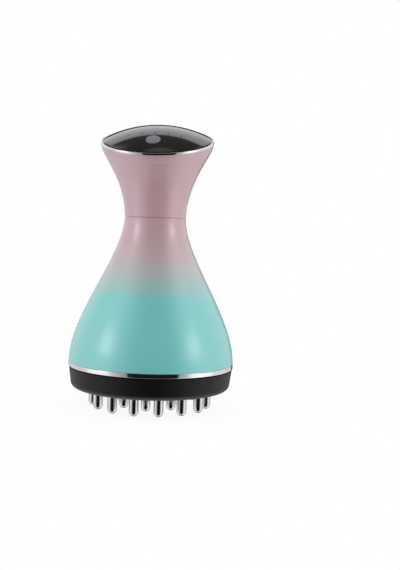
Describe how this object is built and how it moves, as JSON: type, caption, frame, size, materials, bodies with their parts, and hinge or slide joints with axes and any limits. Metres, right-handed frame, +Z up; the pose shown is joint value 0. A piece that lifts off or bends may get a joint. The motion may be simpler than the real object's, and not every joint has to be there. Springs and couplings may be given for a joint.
{
  "type": "neck massager",
  "caption": "Handheld vibrating neck massager with a waisted two-part housing, slanted domed control panel and a round head with rings of rounded prongs.",
  "frame": {"origin": "on the resting plane at the prong tips, below the middle of the massage head", "axes": "+Z up along the housing's axis, -Y towards the front, the low side of the slanted panel, +X to the right seen from the front"},
  "size_m": [0.09, 0.09, 0.155],
  "materials": {
    "pink_shell": "glossy pink moulded plastic",
    "fade_shell": "glossy plastic sprayed pink at the neck, fading to teal at the belly",
    "trim_chrome": "bright plated trim",
    "prong_chrome": "bright plated steel, rounded ends",
    "head_black": "satin black moulded plastic",
    "panel_black": "high gloss black panel",
    "button_grey": "satin grey plastic",
    "lens_grey": "smoked clear plastic",
    "seal_rubber": "soft black rubber",
    "steel": "zinc plated steel",
    "screw_steel": "zinc plated screws",
    "board_green": "green lacquered board",
    "led_yellow": "lamp bodies",
    "inner_plastic": "unpainted moulded plastic",
    "mount_plastic": "glass filled dark plastic",
    "cell_wrap": "battery cell in a blue sleeve",
    "motor_metal": "drawn motor can",
    "weight_brass": "turned brass weight"
  },
  "bodies": {
    "housing": {"upper_shell": "pink_shell", "lower_shell": "fade_shell", "top_trim_ring": "trim_chrome", "base_trim_ring": "trim_chrome", "massage_head": "head_black", "head_gasket": "seal_rubber", "outer_prongs": "prong_chrome", "inner_prongs": "prong_chrome", "prong_plate": "steel", "plate_screws": "screw_steel", "head_screws": "screw_steel", "control_panel": "panel_black", "button_gasket": "seal_rubber", "indicator_lenses": "lens_grey", "indicator_leds": "led_yellow", "control_board": "board_green", "board_screws": "screw_steel", "tact_switch": "steel", "charging_socket": "steel", "neck_sleeve": "inner_plastic", "neck_nut": "inner_plastic", "battery_cell": "cell_wrap", "battery_pad": "seal_rubber", "motor_can": "motor_metal", "motor_mount": "mount_plastic", "motor_screws": "screw_steel"},
    "button": {"power_button": "button_grey"},
    "plunger": {"switch_plunger": "mount_plastic"},
    "rotor": {"motor_shaft": "steel", "eccentric_weight": "weight_brass"}
  },
  "joints": [
    {"name": "button_press", "type": "slide", "parent": "housing", "child": "button", "axis": [0, 0.2924, -0.9563], "range_m": [0, 0.0004], "stiffness_N_per_m": 4000},
    {"name": "plunger_press", "type": "slide", "parent": "housing", "child": "plunger", "axis": [0, 0.2924, -0.9563], "range_m": [0, 0.0004]},
    {"name": "rotor_spin", "type": "hinge", "parent": "housing", "child": "rotor", "pos_m": [0, 0, 0.045], "axis": [0, 0, 1], "continuous": true}
  ],
  "couplings": [
    {"joint": "plunger_press", "follows": "button_press", "ratio": 1}
  ]
}
